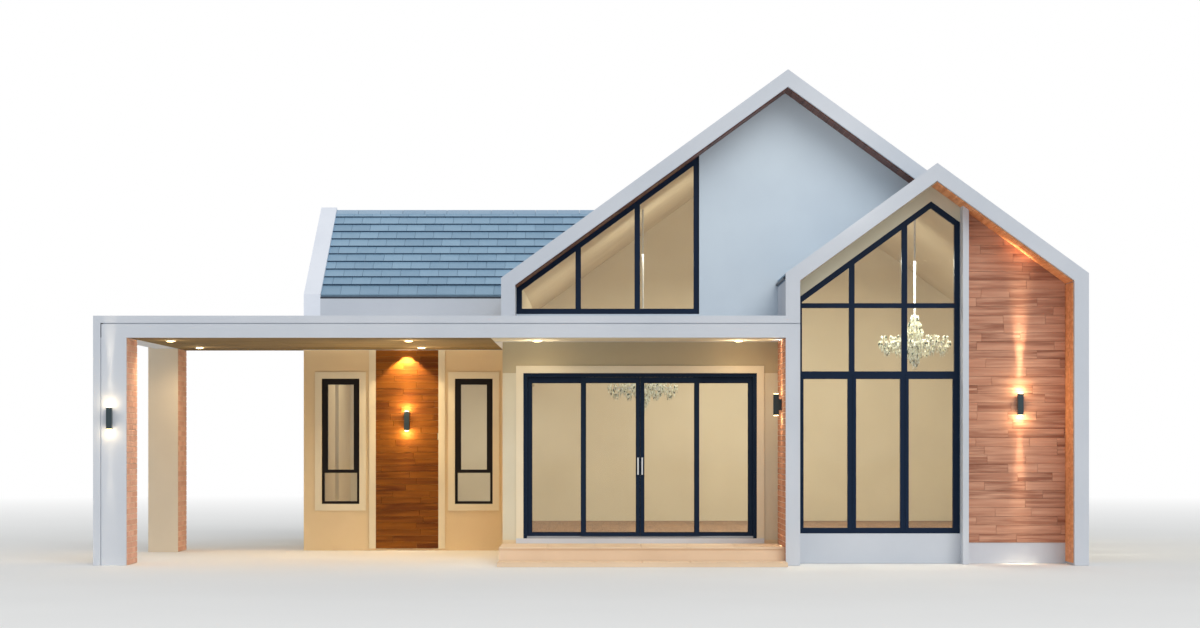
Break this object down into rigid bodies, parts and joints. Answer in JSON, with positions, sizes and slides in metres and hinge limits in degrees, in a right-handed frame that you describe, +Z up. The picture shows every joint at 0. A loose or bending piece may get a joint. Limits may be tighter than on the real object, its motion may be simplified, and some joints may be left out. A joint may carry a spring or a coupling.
{
  "type": "bungalow",
  "caption": "Single storey house with a gabled front bay, a side wing, a flat roofed carport and porch, and a sliding glass door.",
  "frame": {"origin": "on the ground, at the middle of the outline in plan", "axes": "+X along the front towards the bay, +Y to the back, +Z up"},
  "size_m": [13.192, 11.23, 6.718],
  "materials": {
    "white_plaster": "smooth painted plaster, light grey white",
    "cream_plaster": "smooth painted plaster, warm cream",
    "blue_plaster": "smooth painted plaster, pale blue grey",
    "concrete": "light concrete and stone paving slabs",
    "brick": "terracotta facing brick with pale joints",
    "ceiling_boards": "stained ceiling boards",
    "wood_boards": "oiled red brown boards",
    "dark_boards": "dark brown soffit boards",
    "floor_boards": "oiled oak floor",
    "roof_tile": "flat slate blue tiles",
    "gutter_metal": "dark painted metal",
    "navy_frame": "navy powder coat",
    "black_frame": "near black powder coat",
    "track_metal": "mill aluminium",
    "clear_glass": "clear double glazing",
    "handle_steel": "brushed stainless steel",
    "lamp_body": "dark painted metal",
    "lamp_lens": "opal lens",
    "crystal": "pale crystal and white lacquered rod"
  },
  "bodies": {
    "root": {"floor_slab": "concrete", "room_floor": "floor_boards", "porch_plinth": "concrete", "porch_step": "concrete", "columns": "white_plaster", "brick_facing": "brick", "carport_deck": "white_plaster", "carport_ceiling": "ceiling_boards", "carport_roof": "white_plaster", "downlights": "lamp_lens", "wing_front_wall": "cream_plaster", "wing_end_wall": "white_plaster", "wing_back_wall": "cream_plaster", "wing_roof_front": "cream_plaster", "wing_roof_back": "cream_plaster", "left_wall": "cream_plaster", "wing_lintel": "cream_plaster", "right_wall": "cream_plaster", "back_wall": "cream_plaster", "porch_piers": "cream_plaster", "porch_lintel": "cream_plaster", "gable_wall": "blue_plaster", "main_legs": "white_plaster", "main_verge_left": "white_plaster", "main_verge_right": "white_plaster", "main_roof_left": "cream_plaster", "main_roof_right": "cream_plaster", "bay_legs": "white_plaster", "bay_verge_left": "white_plaster", "bay_verge_right": "white_plaster", "bay_roof_left": "cream_plaster", "bay_roof_right": "cream_plaster", "roof_tiles": "roof_tile", "ridge_caps": "roof_tile", "gutters": "gutter_metal", "bay_soffit": "wood_boards", "gable_soffit": "dark_boards", "bay_plinth": "white_plaster", "bay_head_band": "cream_plaster", "window_fin": "white_plaster", "wood_wall": "wood_boards", "bay_window_frame": "navy_frame", "gable_window_frame": "navy_frame", "small_window_frames": "black_frame", "window_glass": "clear_glass", "wood_panel": "wood_boards", "surrounds": "cream_plaster", "door_jambs": "navy_frame", "door_head": "navy_frame", "door_track": "track_metal", "fixed_leaves": "navy_frame", "wall_lamps": "lamp_body", "hanging_lamps": "crystal"},
    "left_door": {"left_leaf": "navy_frame", "left_glass": "clear_glass", "left_handle": "handle_steel"},
    "right_door": {"right_leaf": "navy_frame", "right_glass": "clear_glass", "right_handle": "handle_steel"}
  },
  "joints": [
    {"name": "left_door_slide", "type": "slide", "parent": "root", "child": "left_door", "axis": [-1, 0, 0], "range_m": [0, 0.739]},
    {"name": "right_door_slide", "type": "slide", "parent": "root", "child": "right_door", "axis": [1, 0, 0], "range_m": [0, 0.739]}
  ]
}
